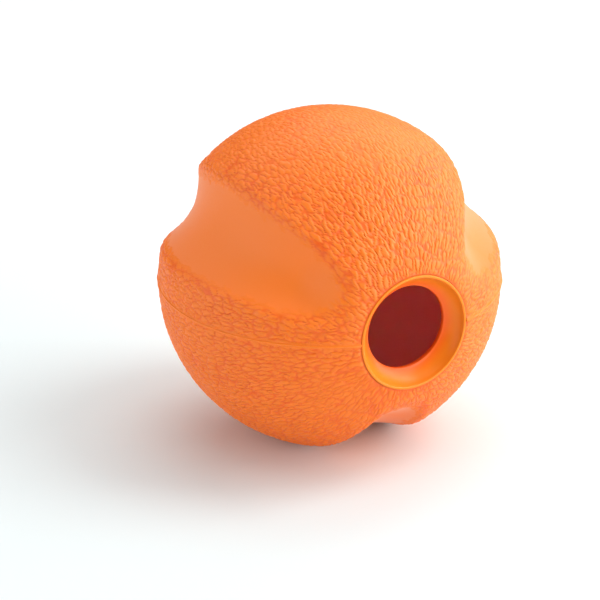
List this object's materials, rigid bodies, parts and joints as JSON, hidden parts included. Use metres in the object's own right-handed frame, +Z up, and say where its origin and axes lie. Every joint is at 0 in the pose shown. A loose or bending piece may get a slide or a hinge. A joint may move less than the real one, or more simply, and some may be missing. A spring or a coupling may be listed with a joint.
{
  "type": "treat ball",
  "caption": "Hollow soft ball with long shallow flutes and a round funnel mouth; treats go in through the throat and fall out as the ball rolls.",
  "frame": {"origin": "point on the floor below the ball's centre, where it stands on the two edges of its lowest flute", "axes": "+Z up, the mouth faces -Y, +X to the right seen from in front of the mouth"},
  "size_m": [0.128, 0.1239, 0.1232],
  "materials": {
    "shell": "satin orange, pebbled grain on the lands and smooth in the flutes",
    "funnel": "smooth satin orange",
    "seam": "satin orange"
  },
  "bodies": {
    "root": {"upper_shell": "shell", "lower_shell": "shell", "mouth_funnel": "funnel", "seam_bead": "seam"}
  },
  "joints": []
}
